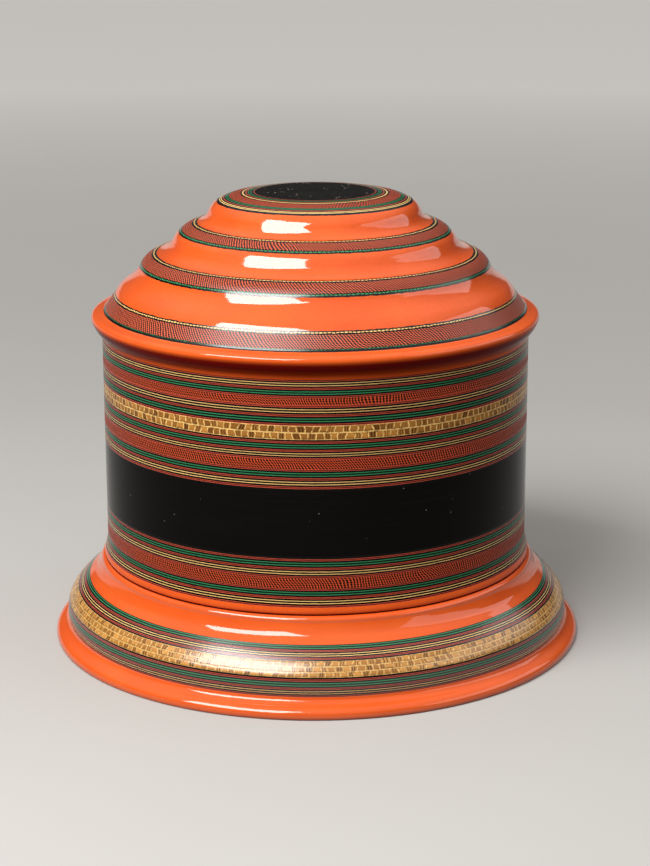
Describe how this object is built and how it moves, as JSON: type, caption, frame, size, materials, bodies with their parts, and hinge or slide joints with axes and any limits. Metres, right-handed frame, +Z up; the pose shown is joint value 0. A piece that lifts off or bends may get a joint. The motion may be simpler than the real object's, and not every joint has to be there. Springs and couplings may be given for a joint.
{
  "type": "lacquer betel box",
  "caption": "Round lacquered box with a deep tiered-dome cover that lifts off a flared base, over a nest of lift-out trays for betel leaves and nuts.",
  "frame": {"origin": "centre of the standing ring, on the surface that the box stands on", "axes": "+Z up along the axis of the box, through the middle of the crown disc; -Y faces the viewer of the picture"},
  "size_m": [0.2644, 0.2644, 0.2218],
  "materials": {
    "coral_lacquer": "glossy coral lacquer over wound bamboo",
    "banded_lacquer": "glossy lacquer with fine engraved bands in red, black, green and yellow",
    "black_lacquer": "glossy black lacquer over wound bamboo",
    "inner_lacquer": "satin dark red lacquer over wound bamboo"
  },
  "bodies": {
    "base": {"foot_flange": "coral_lacquer", "foot_moulding": "banded_lacquer", "foot_shoulder": "coral_lacquer", "box_floor": "inner_lacquer", "box_wall": "inner_lacquer", "box_rim_hoop": "black_lacquer", "tray_ledge": "inner_lacquer"},
    "lower_tray": {"lower_tray_wall": "inner_lacquer", "lower_tray_floor": "inner_lacquer", "lower_tray_rim_hoop": "black_lacquer"},
    "upper_tray": {"upper_tray_wall": "inner_lacquer", "upper_tray_floor": "inner_lacquer", "upper_tray_rim_hoop": "black_lacquer"},
    "cover": {"cover_hem_hoop": "banded_lacquer", "cover_wall": "banded_lacquer", "eave_flange": "coral_lacquer", "lower_tier": "coral_lacquer", "middle_tier": "coral_lacquer", "upper_tier": "coral_lacquer", "crown_ring": "banded_lacquer", "crown_disc": "black_lacquer"}
  },
  "joints": [
    {"name": "lower_tray_lift", "type": "slide", "parent": "base", "child": "lower_tray", "axis": [0, 0, 1], "range_m": [0, 0.065]},
    {"name": "upper_tray_lift", "type": "slide", "parent": "lower_tray", "child": "upper_tray", "axis": [0, 0, 1], "range_m": [0, 0.05]},
    {"name": "cover_lift", "type": "slide", "parent": "upper_tray", "child": "cover", "axis": [0, 0, 1], "range_m": [0, 0.13]}
  ]
}
